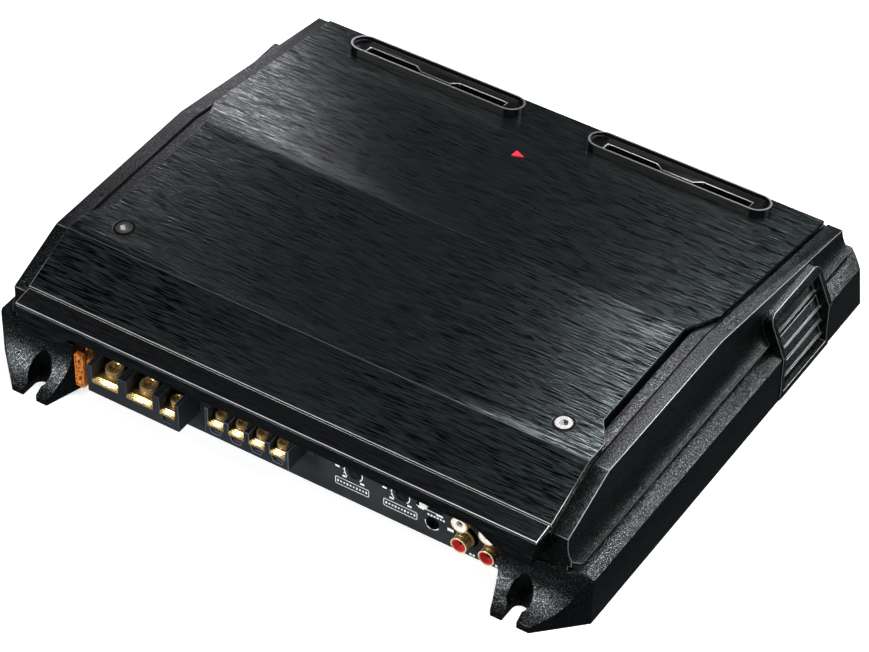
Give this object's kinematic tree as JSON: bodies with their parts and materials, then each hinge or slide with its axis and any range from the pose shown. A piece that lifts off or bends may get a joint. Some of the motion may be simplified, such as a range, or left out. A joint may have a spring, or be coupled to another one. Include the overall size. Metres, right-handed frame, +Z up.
{
  "type": "car amplifier",
  "caption": "Low black car power amplifier with a folded brushed top, slotted mounting feet, side louvres, screw terminals, blade fuse and phono jacks on its front.",
  "frame": {"origin": "centre of the footprint, on the mounting surface", "axes": "+X to the right seen from the connector side, -Y towards the connectors, +Z up"},
  "size_m": [0.3212, 0.289, 0.065],
  "materials": {
    "textured_black": "fine granular paint",
    "brushed_black": "black anodised, brushed",
    "brushed_trim": "dark anodised, brushed",
    "heatsink_black": "black anodised",
    "panel_black": "satin",
    "seal_black": "matt",
    "fascia_black": "satin",
    "chrome_rim": "polished",
    "insert_black": "matt",
    "red_lens": "translucent",
    "steel": "zinc plated",
    "terminal_plastic": "satin",
    "gold": "gold plated",
    "fuse_amber": "translucent",
    "tin": "tin plated",
    "white_plastic": "smooth",
    "red_plastic": "smooth",
    "knob_black": "satin",
    "pot_blue": "satin",
    "board_green": "solder mask",
    "copper_winding": "enamelled wire",
    "capacitor_sleeve": "shrink sleeve"
  },
  "bodies": {
    "chassis": {"bottom_plate": "panel_black", "heatsink": "heatsink_black", "connector_panel": "panel_black", "rear_panel": "panel_black", "left_side_rail": "textured_black", "right_side_rail": "textured_black", "left_side_seal": "seal_black", "right_side_seal": "seal_black", "left_end_cap": "textured_black", "right_end_cap": "textured_black", "top_plate": "brushed_black", "terminal_cover": "brushed_black", "front_trim": "brushed_trim", "front_fascia": "fascia_black", "left_side_grille": "textured_black", "right_side_grille": "textured_black", "left_vent_bezel": "chrome_rim", "right_vent_bezel": "chrome_rim", "left_vent_insert": "insert_black", "right_vent_insert": "insert_black", "indicator_lens": "red_lens", "indicator_led": "red_lens", "cover_screws": "steel", "cover_screw_cups": "insert_black", "chassis_screws": "steel", "power_terminal_block": "terminal_plastic", "power_clamp_plates": "gold", "speaker_terminal_block": "terminal_plastic", "speaker_clamp_plates": "gold", "fuse_holder": "insert_black", "rca_housing": "insert_black", "rca_shells": "gold", "rca_white_rings": "white_plastic", "rca_red_rings": "red_plastic", "rca_contacts": "gold", "crossover_pot": "pot_blue", "sensitivity_pot": "pot_blue", "switch_body": "insert_black", "remote_jack": "insert_black", "main_pcb": "board_green", "pcb_standoffs": "steel", "power_toroid": "copper_winding", "output_inductor": "copper_winding", "capacitors": "capacitor_sleeve", "power_transistors": "knob_black", "transistor_clamps": "steel", "fan_frame": "knob_black"},
    "battery_screw": {"battery_screw": "gold"},
    "ground_screw": {"ground_screw": "gold"},
    "remote_screw": {"remote_screw": "gold"},
    "speaker_screw_1": {"speaker_screw_1": "gold"},
    "speaker_screw_2": {"speaker_screw_2": "gold"},
    "speaker_screw_3": {"speaker_screw_3": "gold"},
    "speaker_screw_4": {"speaker_screw_4": "gold"},
    "crossover_knob": {"crossover_knob": "knob_black"},
    "sensitivity_knob": {"sensitivity_knob": "knob_black"},
    "switch_lever": {"switch_lever": "white_plastic"},
    "fuse": {"fuse_body": "fuse_amber", "fuse_blades": "tin"},
    "fan_rotor": {"fan_rotor": "knob_black"}
  },
  "joints": [
    {"name": "battery_screw_turn", "type": "hinge", "parent": "chassis", "child": "battery_screw", "pos_m": [-0.09205, -0.128, 0.022], "axis": [0, 0, -1], "continuous": true},
    {"name": "ground_screw_turn", "type": "hinge", "parent": "chassis", "child": "ground_screw", "pos_m": [-0.07265, -0.128, 0.022], "axis": [0, 0, -1], "continuous": true},
    {"name": "remote_screw_turn", "type": "hinge", "parent": "chassis", "child": "remote_screw", "pos_m": [-0.0573, -0.128, 0.022], "axis": [0, 0, -1], "continuous": true},
    {"name": "speaker_screw_1_turn", "type": "hinge", "parent": "chassis", "child": "speaker_screw_1", "pos_m": [-0.0314, -0.129, 0.022], "axis": [0, 0, -1], "continuous": true},
    {"name": "speaker_screw_2_turn", "type": "hinge", "parent": "chassis", "child": "speaker_screw_2", "pos_m": [-0.0202, -0.129, 0.022], "axis": [0, 0, -1], "continuous": true},
    {"name": "speaker_screw_3_turn", "type": "hinge", "parent": "chassis", "child": "speaker_screw_3", "pos_m": [-0.009, -0.129, 0.022], "axis": [0, 0, -1], "continuous": true},
    {"name": "speaker_screw_4_turn", "type": "hinge", "parent": "chassis", "child": "speaker_screw_4", "pos_m": [0.0022, -0.129, 0.022], "axis": [0, 0, -1], "continuous": true},
    {"name": "crossover_turn", "type": "hinge", "parent": "chassis", "child": "crossover_knob", "pos_m": [0.0334, -0.1185, 0.0186], "axis": [0, 1, 0], "range_deg": [-140, 140]},
    {"name": "sensitivity_turn", "type": "hinge", "parent": "chassis", "child": "sensitivity_knob", "pos_m": [0.0585, -0.1185, 0.0186], "axis": [0, 1, 0], "range_deg": [-140, 140]},
    {"name": "switch_slide", "type": "slide", "parent": "chassis", "child": "switch_lever", "axis": [1, 0, 0], "range_m": [0, 0.005]},
    {"name": "fuse_pull", "type": "slide", "parent": "chassis", "child": "fuse", "axis": [0, -1, 0], "range_m": [0, 0.012]},
    {"name": "fan_spin", "type": "hinge", "parent": "chassis", "child": "fan_rotor", "pos_m": [0.109, 0.067, 0.0251], "axis": [1, 0, 0], "continuous": true}
  ]
}
